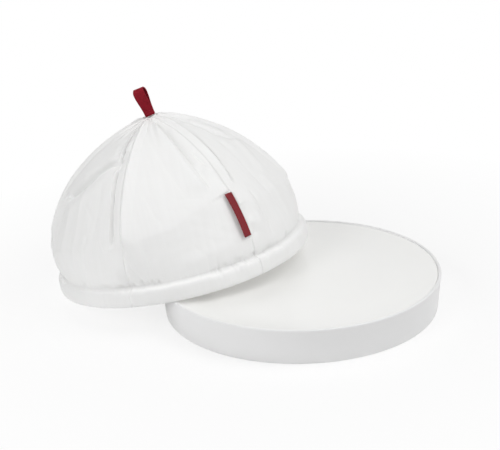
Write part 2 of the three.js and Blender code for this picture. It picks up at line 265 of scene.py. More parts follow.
# Serving plate: the pale top that drops onto the ledge, with an open groove all round it.
# A smooth white moulding, softly glossy, flat in the middle and rising a little to its edge.
PLATE_FLAT_RADIUS = 100.0
PLATE_MIDDLE_RING = 60.0
PLATE_RISE_RINGS = 14
PLATE_FOOT_STEPS = 4
PLATE_EDGE_STEPS = 6
GROOVE_WIDTH = 0.12
PLATE_EDGE_ROUND = 0.4
plate_edge = LIP_INNER_RADIUS - GROOVE_WIDTH
plate_middle = PLATE_EDGE_TOP - PLATE_RISE
plate_reach = plate_edge - PLATE_FLAT_RADIUS


def plate_top(radius):
    return plate_middle + PLATE_RISE * max(0.0, (radius - PLATE_FLAT_RADIUS) / plate_reach) ** 2


gloss_white = surface(
    "gloss_white_plastic", moulded_skin,
    {"Colour": (0.905, 0.905, 0.89, 1), "Cloud colour": (0.89, 0.89, 0.875, 1), "Gloss": 0.17, "Dull": 0.25},
    bump=0.06, bump_height=0.00004, settings={"IOR": 1.5},
)
plate_rim = plate_edge - PLATE_EDGE_ROUND
serving_plate = turned(
    "plate_disc",
    [(0.0, PLATE_BOTTOM)]
    + corner(plate_rim, PLATE_BOTTOM + PLATE_EDGE_ROUND, PLATE_EDGE_ROUND, -90, 0, PLATE_FOOT_STEPS)
    + corner(plate_rim, PLATE_EDGE_TOP - PLATE_EDGE_ROUND, PLATE_EDGE_ROUND, 0, 90, PLATE_EDGE_STEPS)
    + [(r, plate_top(r)) for r in np.linspace(plate_rim, PLATE_FLAT_RADIUS, PLATE_RISE_RINGS)[1:]]
    + [(PLATE_MIDDLE_RING, plate_middle), (0.0, plate_middle)],
    gloss_white,
)
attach(serving_plate, "tray")
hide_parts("serving_plate")

# Hem hoop and seam stays: the springy ring in the hem and the flat strips behind the seams.
# Milky flexible plastic, closed in between the outer cloth and the lining.
STAYS = 6
milky_plastic = surface(
    "milky_plastic", moulded_skin,
    {"Colour": (0.72, 0.73, 0.73, 1), "Cloud colour": (0.66, 0.67, 0.68, 1), "Gloss": 0.42, "Dull": 0.58},
    bump=0.2, bump_height=0.00006, settings={"IOR": 1.49},
)
for node in ["hem_hoop"] + [f"seam_stay_{i + 1}" for i in range(STAYS)]:
    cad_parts[node].data.materials.clear()
    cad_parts[node].data.materials.append(milky_plastic)

# Lining: six gores of thin off-white cotton inside the cover, sewn in at the crown and the hem.
# It hides the stays. The cover's own frame has the dome's axis as Z and the hem roll's centre as origin.
GORES = 6
GORE_PITCH = 2 * np.pi / GORES
FIRST_SEAM = math.radians(-109)
HEM_RADIUS = 126.0
DOME_HEIGHT = 148.5
BULGE_RADIUS = 130.0
DOME_RISE_POWER = 0.8
DOME_ROUND_POWER = 1.4
NECK_TUCK = 3.6
NECK_TUCK_HEIGHT = 32.0
GORE_FLATNESS = 0.4
SIDE_SAG = 6.0
COVER_PLACE = (-121.465, 58.457, 33.923)
COVER_LEAN = math.radians(11.548)
LEAN_AZIMUTH = math.radians(154.3)
CROWN_RADIUS = 7.0
NECK_HEIGHT = 10.1
LINING_DEPTH = 5.4
LINING_CLOTH = 0.8
SEAM_GAP = 0.4
TURN_STEP = 0.001
FINE_STEPS = 2000
lean_axis = Vector((-math.sin(LEAN_AZIMUTH), math.cos(LEAN_AZIMUTH), 0))
cover_place = Matrix.Translation(COVER_PLACE) @ Matrix.Rotation(COVER_LEAN, 4, lean_axis)
cover_turn = np.array(cover_place.to_3x3())
cover_shift = np.array(cover_place.translation)


def on_tray(points):
    """Points of the cover's own frame, placed where the cover leans on the tray."""
    return np.asarray(points) @ cover_turn.T + cover_shift


def ease(value, low, high):
    """0 below the low value and 1 above the high one, with a soft change between them."""
    share = np.clip((value - low) / (high - low), 0, 1)
    return share * share * (3 - 2 * share)


def run_along(line):
    """How far each point of a line is from its start, along it."""
    return np.concatenate([[0], np.cumsum(np.linalg.norm(np.diff(line, axis=0), axis=1))])


def meridian(turn):
    """Radius and height of the dome over a seam, at a turn from the hem up to the crown."""
    height = DOME_HEIGHT * np.sin(turn) ** DOME_RISE_POWER
    tuck = NECK_TUCK * ease(NECK_TUCK_HEIGHT - height, 0, NECK_TUCK_HEIGHT)
    return BULGE_RADIUS * np.cos(turn) ** DOME_ROUND_POWER - tuck, height


def turn_at_height(height):
    return np.arcsin((np.asarray(height) / DOME_HEIGHT) ** (1 / DOME_RISE_POWER))


def turn_at_radius(radius):
    return np.arccos((radius / BULGE_RADIUS) ** (1 / DOME_ROUND_POWER))


def dome(turn, azimuth):
    """The dome sags to its low side, and each gore lies flatter than a circle between its seams."""
    seam_radius, height = meridian(turn)
    middle = np.sin(np.pi * height / DOME_HEIGHT)
    across = np.mod(azimuth - FIRST_SEAM, GORE_PITCH)
    flat_radius = seam_radius * np.cos(GORE_PITCH / 2) / np.cos(across - GORE_PITCH / 2)
    sag = SIDE_SAG * middle * np.cos(azimuth - LEAN_AZIMUTH)
    return seam_radius - GORE_FLATNESS * middle * (seam_radius - flat_radius) + sag, height


def dome_points(turn, azimuth, offset):
    """Points of the dome, moved square to its meridian: outwards where the offset is positive."""
    radius_up, height_up = dome(turn + TURN_STEP, azimuth)
    radius_down, height_down = dome(turn - TURN_STEP, azimuth)
    along_r, along_z = radius_down - radius_up, height_down - height_up
    length = np.hypot(along_r, along_z)
    radius, height = dome(turn, azimuth)
    return around(radius - along_z / length * offset, azimuth, height + along_r / length * offset)


CROWN_TURN = turn_at_radius(CROWN_RADIUS)
fine_turns = np.linspace(CROWN_TURN, turn_at_height(NECK_HEIGHT), FINE_STEPS)
fine_down = run_along(np.stack(meridian(fine_turns), axis=-1))


def down_at(turn):
    """How far down from the crown a turn is, along the cloth."""
    return np.interp(-turn, -fine_turns, fine_down)


def turns_down(rows):
    """Turns from the crown to the neck, evenly spaced along the cloth."""
    return np.interp(np.linspace(0, fine_down[-1], rows), fine_down, fine_turns)


def gore_azimuths(gore, shares, radius, gap):
    """Azimuths across a gore, with half a gap left free at each edge."""
    half_width = GORE_PITCH / 2 - gap / 2 / radius
    return FIRST_SEAM + (gore + 0.5) * GORE_PITCH + 2 * shares[None, :] * half_width[:, None]


def place_on_cut(tree):
    """The place on the flat cut that a cloth piece carries, in metres: the vector, across and down."""
    place = tree.nodes.new("ShaderNodeAttribute")
    place.attribute_name = "cut"
    axes = new_node(tree, "SeparateXYZ", {0: place.outputs["Vector"]})
    return place.outputs["Vector"], axes.outputs["X"], axes.outputs["Y"]


def thread_wave(tree, along, half_waves, pitch):
    """A wave along one way of the cut, with so many half waves to each pitch of the threads."""
    angle = math_node(tree, "MULTIPLY", along, half_waves * math.pi)
    return math_node(tree, "SINE", math_node(tree, "DIVIDE", angle, pitch))


def stretched_noise(tree, place, scale, detail):
    """Noise on the cut, finer along one way than along the other."""
    stretch = new_node(tree, "Mapping", {"Vector": place, "Scale": scale})
    return noise_node(tree, stretch.outputs["Vector"], scale=1.0, detail=detail, roughness=0.6)


# Woven cotton: crossing threads, slubs that run down the cloth, faint cloudiness, and painted shade: a darker
# colour where the cloth carries a crease.
woven_cotton, cotton_in, cotton_out = new_group("woven_cotton", {
    "Colour": (0.85, 0.85, 0.85, 1), "Thread colour": (0.78, 0.78, 0.78, 1),
    "Painted shade colour": (0.7, 0.7, 0.7, 1), "Thread pitch": 0.0007, "Dull": 0.95,
})
cotton_place, cotton_across, cotton_down = place_on_cut(woven_cotton)
cross_thread = math_node(
    woven_cotton, "MULTIPLY",
    thread_wave(woven_cotton, cotton_across, 2, cotton_in["Thread pitch"]),
    thread_wave(woven_cotton, cotton_down, 2, cotton_in["Thread pitch"]),
)
down_slub = stretched_noise(woven_cotton, cotton_place, scale=(190.0, 15.0, 5.0), detail=4.0)
cross_slub = stretched_noise(woven_cotton, cotton_place, scale=(22.0, 420.0, 5.0), detail=2.0)
cotton_cloud = stretched_noise(woven_cotton, cotton_place, scale=(34.0, 26.0, 5.0), detail=3.0)
slub = weighted_sum(woven_cotton, (down_slub, 0.82), (cross_slub, 0.18))
cotton_shade = weighted_sum(woven_cotton, (slub, 0.7), (cotton_cloud, 0.3), (cross_thread, 0.02))
cotton_colour = mix_colour(woven_cotton, range_node(woven_cotton, cotton_shade, low=0.32, high=0.68),
                           cotton_in["Thread colour"], cotton_in["Colour"])
# Painted shade: a mark on the mesh darkens the cloth's colour towards its shade colour.
painted_shade_mark = woven_cotton.nodes.new("ShaderNodeAttribute")
painted_shade_mark.attribute_name = "painted_crease_shade"
feed(woven_cotton, cotton_out, {
    "Colour": mix_colour(woven_cotton, painted_shade_mark.outputs["Fac"], cotton_colour, cotton_in["Painted shade colour"]),
    "Roughness": range_node(woven_cotton, slub, 0.3, 0.7, 0.8, cotton_in["Dull"]),
    "Grain": weighted_sum(woven_cotton, (slub, 1.6), (cross_thread, 0.1)),
})


def lay_cut(piece, across, down, place):
    """Gives each point of a cloth piece its place on the flat cut, in metres."""
    values = np.stack([across, down, np.full_like(across, place)], axis=-1).reshape(-1, 3) * MM
    cut = piece.data.attributes.new("cut", "FLOAT_VECTOR", "POINT")
    cut.data.foreach_set("vector", values.astype(np.float32).ravel())


def sew_gore(name, gore, points, across, down, finish, thickness):
    """A gore from a grid of points, laid on its cut, with its cloth's thickness inwards from its face."""
    faces = grid_faces(*across.shape)
    panel = new_piece(f"{name}_{gore + 1}", on_tray(points.reshape(-1, 3)), faces, finish)
    lay_cut(panel, across, down, CUT_SPACING * gore)
    cloth = panel.modifiers.new("cloth", "SOLIDIFY")
    cloth.thickness = thickness * MM
    cloth.offset = -1
    cloth.use_even_offset = True
    return panel


off_white_cotton = surface(
    "off_white_cotton", woven_cotton,
    {"Colour": (0.80, 0.785, 0.75, 1), "Thread colour": (0.72, 0.70, 0.66, 1),
     "Painted shade colour": (0.66, 0.64, 0.60, 1), "Thread pitch": 0.0008, "Dull": 0.97},
    bump=0.35, bump_height=0.00025, settings={"Sheen Weight": 0.1},
)
LINING_ROWS = 44
LINING_COLUMNS = 25
LINING_SLACK = 0.9
LINING_WAVE = 0.6
WAVE_ACROSS = 9.0
WAVE_DOWN = 31.0
CUT_SPACING = 40.0
lining_shares = np.linspace(-0.5, 0.5, LINING_COLUMNS)
lining_turns = turns_down(LINING_ROWS)
lining_radius = meridian(lining_turns)[0] - LINING_DEPTH
for gore in range(GORES):
    azimuth = gore_azimuths(gore, lining_shares, lining_radius, SEAM_GAP)
    across = lining_shares[None, :] * GORE_PITCH * lining_radius[:, None]
    down = columned(down_at(lining_turns), LINING_COLUMNS)
    held = np.cos(np.pi * lining_shares)[None, :] * np.sin(np.pi * down / fine_down[-1])
    wave = LINING_WAVE * np.sin(across / WAVE_ACROSS + gore) * np.sin(down / WAVE_DOWN + 2 * gore)
    offset = held * (wave - LINING_SLACK) - LINING_DEPTH
    points = dome_points(columned(lining_turns, LINING_COLUMNS), azimuth, offset)
    lining = sew_gore("lining_gore", gore, points, across, down, off_white_cotton, LINING_CLOTH)
    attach(lining, "cover")
    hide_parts(f"lining_panel_{gore + 1}")

# Outer gores: six panels of white cotton over the stays, sewn edge to edge, each with its lower end
# turned up round the hoop as the hem. The seam allowance and stay stand up as a band beside each seam.
HEM_HALF_WIDTH = 5.5
HEM_HALF_HEIGHT = 8.5
HEM_TURN_START = 84.0
HEM_TURN_END = -232.0
HEM_INSIDE = -50.0
HEM_OUTSIDE = 20.0
HEM_SQUARENESS = 0.52
OUTER_CLOTH = 1.1
CLOTH_JOIN = 0.06
DOME_ROWS = 168
HEM_ROWS = 44
HEM_SEAM_ROW = 3
SEAM_DIP = 0.7
SEAM_DIP_WIDTH = 0.7
# The cotton's crease colour is the painted shade in its creases.
white_cotton = surface(
    "white_cotton", woven_cotton,
    {"Colour": (0.875, 0.875, 0.87, 1), "Thread colour": (0.845, 0.845, 0.838, 1),
     "Painted shade colour": (0.70, 0.70, 0.692, 1), "Thread pitch": 0.0007, "Dull": 0.95},
    bump=0.2, bump_height=0.0003, settings={"Sheen Weight": 0.12},
)
# Folds of each gore: points (share of the width from the middle, height over the hem) from left to right
# or from the crown down, the rise in mm, how far it spreads to the left and right of that way in mm, and
# its own sharpness where it has one.
FOLDS = {
    0: [
        ([(-0.49, 49.5), (-0.35, 55), (-0.19, 57.5), (-0.06, 59), (0.03, 63), (0.12, 67), (0.24, 70)],
         4.2, 30, 16, 1.35),
        ([(0.18, 139), (0.2, 132), (0.21, 123), (0.23, 115), (0.25, 107), (0.27, 97)], -0.9, 6, 1.6),
        ([(0.16, 138), (0.17, 123), (0.2, 110), (0.23, 98)], 0.7, 2.5, 14),
        ([(-0.3, 128), (-0.3, 108), (-0.28, 84)], 1.2, 24, 22),
        ([(0.0, 81), (0.1, 79.2), (0.22, 76.5)], -0.35, 2.4, 2.4),
        ([(-0.1, 74), (0.06, 71.5)], -0.3, 2.5, 3),
        ([(0.1, 60), (0.23, 52), (0.36, 46)], 0.35, 4, 4),
        ([(0.17, 55), (0.29, 49)], -0.3, 4, 4),
        ([(0.1, 50.5), (0.24, 42), (0.37, 35)], 0.35, 5, 4),
        ([(-0.12, 47), (0.06, 52)], 0.35, 4, 4),
        ([(-0.2, 34), (0.02, 40)], 0.35, 5, 4),
        ([(0.4, 115), (0.42, 109), (0.44, 103)], -1.8, 2.2, 2.2),
        ([(0.4, 99), (0.44, 97)], 1.7, 5, 5),
        ([(-0.49, 46), (-0.462, 31), (-0.425, 21)], -1.5, 7, 2.4),
        ([(0.0, 25), (0.3, 30)], 0.9, 6, 6),
        ([(-0.1, 147), (-0.06, 139), (-0.03, 128)], -0.6, 3, 3),
        ([(0.12, 146.5), (0.1, 138)], -0.5, 2.5, 2.5),
        ([(-0.3, 147), (-0.27, 140)], -1.0, 2, 2),
    ],
    1: [
        ([(-0.35, 60), (0.4, 52)], 2.8, 18, 12),
        ([(0.13, 139), (0.11, 128), (0.1, 121), (0.26, 111.5)], -2.8, 5, 2.4),
        ([(0.2, 136), (0.19, 126), (0.22, 119)], 1.2, 8, 4),
        ([(0.27, 105), (0.19, 91), (0.15, 75)], 1.2, 6, 7),
        ([(-0.06, 112), (-0.08, 88), (-0.07, 62)], -1.0, 6, 5),
        ([(-0.43, 43), (-0.36, 40)], 2.4, 7, 7),
        ([(-0.45, 54), (-0.455, 33)], -1.4, 2.4, 2.4),
        ([(-0.28, 66), (-0.26, 25)], -1.5, 4, 4),
        ([(0.05, 70), (0.1, 35)], 0.7, 5, 5),
        ([(0.0, 147), (0.02, 139)], -1.0, 2.2, 2.2),
        ([(0.3, 146), (0.3, 138)], -1.0, 2.5, 2.5),
    ],
    2: [([(-0.35, 48), (0.35, 62)], 2.4, 18, 12), ([(-0.2, 125), (0.2, 95)], -2.0, 3, 9),
        ([(0.1, 86), (0.34, 74)], -1.4, 3, 7)],
    3: [([(-0.3, 66), (0.35, 50)], 2.4, 18, 12), ([(-0.1, 92), (0.25, 128)], -2.2, 3, 9),
        ([(-0.34, 84), (-0.1, 76)], -1.2, 3, 6)],
    4: [([(-0.35, 46), (0.4, 40)], 2.6, 18, 12), ([(-0.25, 118), (0.2, 84)], -2.1, 3, 9),
        ([(0.02, 68), (0.3, 78)], -1.2, 3, 6)],
    5: [
        ([(0.12, 146), (0.2, 139), (0.27, 128), (0.31, 117)], -1.8, 4, 5),
        ([(-0.31, 93), (-0.16, 100), (-0.05, 108), (0.05, 115), (0.19, 119.5), (0.31, 121)], -4.2, 1.8, 6),
        ([(-0.31, 97), (-0.15, 105), (-0.03, 113), (0.08, 119.5), (0.2, 123.5)], 2.2, 24, 3.2),
        ([(-0.25, 84), (0.0, 97), (0.2, 108)], 1.0, 7, 12),
        ([(-0.35, 42), (0.3, 48)], 2.2, 18, 12),
        ([(0.36, 44), (0.42, 30), (0.43, 20)], 2.0, 7, 12),
        ([(0.13, 60), (0.12, 34), (0.07, 14)], -0.8, 1.8, 1.8),
        ([(-0.06, 96), (-0.02, 62), (-0.05, 30)], 0.6, 4, 3),
        ([(0.2, 106), (0.24, 84), (0.2, 60)], -0.9, 4, 3),
        ([(-0.2, 84), (-0.22, 36)], 0.5, 4, 4),
        ([(-0.33, 86), (-0.36, 44)], -0.6, 4, 4),
        ([(-0.2, 146), (-0.16, 136)], -1.0, 2.5, 2.5),
    ],
}
# Broad swells over the seams: azimuth in degrees, height, rise and reach in mm.
SWELLS = [
    (11.0, 52.0, 3.2, 34.0), (40.0, 142.0, 1.8, 16.0), (191.0, 74.0, -2.0, 34.0),
    (258.0, 12.0, -2.2, 17.0), (243.0, 30.0, 1.4, 15.0),
]
# Cross-section of the cloth over each seam and its stay: (mm from the seam, rise in mm), negative to the
# gore before it, and the height at which it dies out over the hem.
SEAM_SECTIONS = [
    ([(-34, 0), (-18, 0.9), (-13.4, 1.0), (-11.6, -4.2), (-10.6, -4.2), (-8.2, 0.6), (3.2, 3.4), (6, 2.1),
      (13, 0.2), (20, 0)], 54.0),
    ([(-46, 0), (-23.4, 3.2), (-22.4, 3.0), (-18.6, -0.8), (-12, -0.7), (-0.8, -1.0), (0.4, -1.0),
      (8.4, 2.9), (9.4, 2.6), (11.4, -2.6), (12.2, -2.6), (14.4, -0.3), (22, 0)], 83.0),
    ([(-9, 0), (0, 2.4), (9, 0.4), (11, -2.6), (12, -2.6), (14, -0.2), (20, 0)], 52.0),
    ([(-20, 0), (-14, 0.2), (-12, -3.0), (-11, -3.0), (-9, 0.2), (0, 2.4), (8, 0.2), (16, 0)], 56.0),
    ([(-10, 0), (-1, 2.4), (9, 0.2), (11, -2.2), (13.5, -0.2), (20, 0)], 50.0),
    ([(-20, 0), (-14, 0), (-12, -2.8), (-10, 0), (0, 2.5), (9, 0)], 54.0),
]
FULL_SECTION = 45.0
NARROWEST = 0.05
SECTION_FADE = (-5, 7)
SECTION_TOP = (1.0, 6)
DIP_OVER_STAY = 0.4
# Hard creases, where the cloth is folded on itself and shade is painted into its colour: mm from each seam,
# half width and painted shade.
SEAM_PAINTED_CREASES = [
    [(-11.0, 1.1, 0.9), (0.0, 0.6, 0.3)],
    [(0.0, 0.8, 0.75), (11.8, 1.0, 0.25)],
    [(11.5, 1.0, 0.4)],
    [(-11.5, 1.0, 0.4)],
    [(11.2, 1.0, 0.35)],
    [(-12.0, 1.0, 0.35)],
]
PAINTED_CREASE_FADE = (-3, 9)
PAINTED_CREASE_TOP = (1.0, 5)
# Creases across a gore, with shade painted into the cloth's colour: a path, the painted shade, and the spread
# to its left and right, as for the folds.
PAINTED_CREASES = {
    0: [([(0.285, 137), (0.262, 129), (0.279, 119.5), (0.295, 108)], 0.42, 5.5, 0.8)],
    5: [
        ([(0.34, 145), (0.32, 138), (0.3, 130)], 0.34, 3, 10),
        ([(-0.28, 94.5), (-0.16, 101), (-0.05, 108.5), (0.05, 115), (0.19, 120.5), (0.27, 122.5)],
         0.62, 3.2, 1.2),
    ],
}
PAINTED_CREASE_SHARPNESS = 1.6
# Painted shade in the ditch over the hem and at the pinches there.
DITCH_PAINTED_SHADE = 0.13
DITCH_PAINTED_SHADE_HEIGHT = 2.2
PINCH_PAINTED_SHADE = 0.16
# Where the cloth is drawn deepest into the hem: azimuth in degrees, spread in degrees and depth in mm.
DITCHES = [
    (-131.0, 12.0, 0.5), (-114.0, 7.0, 2.4), (-103.0, 4.0, 1.6), (-97.0, 3.0, 2.2), (-62.0, 12.0, 1.8),
    (-40.0, 8.0, 1.8), (-22.0, 9.0, 1.9), (20.0, 16.0, 1.4), (75.0, 20.0, 1.6), (128.0, 14.0, 1.4),
    (172.0, 15.0, 1.7), (197.0, 9.0, 2.0),
]
LEAST_DITCH = 0.7
DITCH_REACH = 3.2
# Short deep pinches just over the hem, given in the same way. The back has seeded random ones.
PINCHES = [
    (238.0, 3.2, 1.7), (246.5, 1.5, 2.2), (250.2, 1.0, 2.4), (252.6, 0.9, 2.6), (257.2, 1.0, 2.8),
    (259.3, 0.8, 2.2), (262.0, 1.0, 2.6), (265.0, 1.1, 2.2), (294.5, 2.2, 1.2), (302.0, 2.2, 1.6),
    (310.5, 1.5, 2.4), (320.0, 3.0, 1.3),
]
BACK_PINCHES = 26
BACK_AZIMUTHS = (335, 590)
PINCH_SPREADS = (0.8, 2.4)
PINCH_DEPTHS = (0.8, 2.6)
PINCH_HEIGHT = 2.2
PINCH_REACH = 2.6
VALLEY_SHARPNESS = 1.3
RIDGE_SHARPNESS = 2.0
DEEPEST_FOLD = -4.3
DEEPEST_OVER_STAY = -1.1
STAY_SIDES = (4.6, 8.0)
STAY_FOOT = 48.0
STAY_FOOT_FADE = 4
CLOTH_SEED = 11
# Short shallow wrinkles on each gore, at seeded random places.
WRINKLES = 16
WRINKLE_SIDE = 0.42
WRINKLE_HEIGHTS = (22, 134)
WRINKLE_LEAN = 0.12
WRINKLE_DROPS = (5, 26)
WRINKLE_DEPTHS = (0.15, 0.42)
WRINKLE_WIDTHS = (2.2, 4.5)
LOWEST_WRINKLE = 12.0
# Tucks round the hem, where its seam draws the cloth in, and long waves in the roll itself.
TUCKS = 92
TUCK_WIDTHS = (1.1, 3.2)
TUCK_DEPTHS = (1.2, 0.4)
TUCK_LENGTHS = (2.5, 9.0)
TUCK_DEPTH_SHARE = (0.2, 0.35)
ROLL_WAVES = 10
ROLL_WAVE_COUNTS = (9, 58)
ROLL_WAVE_DEPTHS = (0.06, 0.2)
ROLL_TWIST = 1.3
HEM_TUCK_SHARE = 0.5
HEM_TUCK_TURNS = (-0.2, 1.4)
HEM_SEAM_DIP = 0.6
# Small pleats at the crown: how often they come across a gore, their shift between gores, and their share.
CROWN_PLEATS = [(21.0, 1.7, 1.0), (34.0, 2.9, 0.8)]
CROWN_PLEAT_DEPTH = 0.32
CROWN_PLEAT_HEIGHTS = (130.0, 145.0)
# How far from its seams, hem and crown a gore is free to fold.
FREE_SIDE = (0.0, 3.5)
FREE_FOOT = (10.0, 22.0)
FREE_TOP = (0.5, 5.0)
# Columns of points across a gore: mm from the seam at its widest, then past the grooves, then the middle.
EDGE_PLACES = [0, 0.4, 0.8, 1.4, 2.2, 3.2, 4.4, 5.8, 7.2, 8.6, 10.0, 11.4]
GROOVE_REACH = 0.225
GROOVE_COLUMNS = 38
MIDDLE_COLUMNS = 54


def cloth_place(share, height):
    """Millimetres across from a gore's middle and up from its neck, along the cloth."""
    turn = turn_at_height(np.asarray(height, float))
    across = np.asarray(share) * GORE_PITCH * meridian(turn)[0]
    return np.stack([across, fine_down[-1] - down_at(turn)], axis=-1)


def fold_relief(place, path, rise, left, right, sharpness=None):
    """How far a fold stands out at each place. It falls off to the sides, more sharply in a valley."""
    share, height = np.array(path, float).T
    ends = cloth_place(share, height)
    nearest = np.full(place.shape[:-1], np.inf)
    side = np.zeros(place.shape[:-1])
    for start, end in zip(ends[:-1], ends[1:]):
        way = end - start
        offset = place - start
        reach = np.clip(offset @ way / (way @ way), 0, 1)
        gap = offset - reach[..., None] * way
        distance = np.hypot(gap[..., 0], gap[..., 1])
        closer = distance < nearest
        nearest = np.where(closer, distance, nearest)
        side = np.where(closer, way[0] * offset[..., 1] - way[1] * offset[..., 0], side)
    width = np.where(side > 0, left, right)
    sharpness = sharpness or (VALLEY_SHARPNESS if rise < 0 else RIDGE_SHARPNESS)
    return rise * np.exp(-((nearest / width) ** sharpness))


chance = np.random.default_rng(CLOTH_SEED)


def small_wrinkles():
    """The paths, depths and widths of one gore's wrinkles."""
    found = []
    for _ in range(WRINKLES):
        share, height = chance.uniform(-WRINKLE_SIDE, WRINKLE_SIDE), chance.uniform(*WRINKLE_HEIGHTS)
        lean, drop = chance.uniform(-WRINKLE_LEAN, WRINKLE_LEAN), chance.uniform(*WRINKLE_DROPS)
        depth = chance.uniform(*WRINKLE_DEPTHS) * chance.choice([-1, 1])
        width = chance.uniform(*WRINKLE_WIDTHS)
        path = [(share, height), (share + lean / 2, height - drop / 2),
                (share + lean, max(LOWEST_WRINKLE, height - drop))]
        found.append((path, depth, width, width))
    return found


tucks = [
    (chance.uniform(0, 2 * np.pi), chance.uniform(*TUCK_WIDTHS) / HEM_RADIUS, chance.gamma(*TUCK_DEPTHS),
     chance.uniform(*TUCK_LENGTHS))
    for _ in range(TUCKS)
]
roll_waves = [
    (int(n), chance.uniform(0, 2 * np.pi), chance.uniform(*ROLL_WAVE_DEPTHS))
    for n in chance.integers(*ROLL_WAVE_COUNTS, ROLL_WAVES)
]
pinches = PINCHES + [
    (chance.uniform(*BACK_AZIMUTHS), chance.uniform(*PINCH_SPREADS), chance.uniform(*PINCH_DEPTHS))
    for _ in range(BACK_PINCHES)
]


def turned_from(azimuth, place, whole):
    """The turn from a place round the cover to each azimuth, the shorter way."""
    return np.mod(azimuth - place + whole / 2, whole) - whole / 2


def pucker(azimuth, rise):
    """Tucks where the cloth is drawn into the hem, at uneven places and of uneven depth and length."""
    return -sum(
        depth * np.exp(-((turned_from(azimuth, place, 2 * np.pi) / width) ** 2) - rise / length)
        for place, width, depth, length in tucks
    )


def marks_round(azimuth, marks):
    """The depth of marks round the cover, each with its azimuth, spread and depth."""
    turn = np.degrees(azimuth)
    return sum(size * np.exp(-((turned_from(turn, at, 360) / spread) ** 2)) for at, spread, size in marks)


def ditch_depth(azimuth):
    """How deep the cloth is drawn in above the hem, all round."""
    return LEAST_DITCH + marks_round(azimuth, DITCHES)


def crown_gathers(gore, share, height):
    """Small pleats that run out from the crown, a little different in each gore."""
    wave = sum(size * np.sin(often * share + shift * gore) for often, shift, size in CROWN_PLEATS)
    return CROWN_PLEAT_DEPTH * wave * ease(height, *CROWN_PLEAT_HEIGHTS)


def squared(wave):
    """A sine or cosine, drawn out so that a circle becomes a squarer roll."""
    return np.sign(wave) * np.abs(wave) ** HEM_SQUARENESS


def seam_cloth(gore, across, height, radius):
    """Rise of the cloth over the stays at both edges of a gore, and the painted shade of the hard creases
    there.
    """
    half = GORE_PITCH * radius[:, None] / 2
    narrow = np.sqrt(np.clip(half / FULL_SECTION, NARROWEST, 1))
    relief, painted_shade = np.zeros_like(across), np.zeros_like(across)
    for seam, from_seam in ((gore, across + half), ((gore + 1) % GORES, across - half)):
        section, end_height = SEAM_SECTIONS[seam]
        over_end, to_crown = height - end_height, DOME_HEIGHT - height
        ends = ease(over_end, *SECTION_FADE) * ease(to_crown, *SECTION_TOP)
        relief += ends * np.interp(from_seam / narrow, *np.array(section, float).T)
        relief -= SEAM_DIP * (1 - DIP_OVER_STAY * ends) * np.exp(-((from_seam / SEAM_DIP_WIDTH) ** 2))
        # The creases beside the seam get painted shade, fading in over the section's end and out below the
        # crown.
        painted_crease_fade = ease(over_end, *PAINTED_CREASE_FADE) * ease(to_crown, *PAINTED_CREASE_TOP)
        for middle, width, depth in SEAM_PAINTED_CREASES[seam]:
            painted_shade += painted_crease_fade * depth * np.exp(-(((from_seam / narrow - middle) / width) ** 2))
    return relief, painted_shade


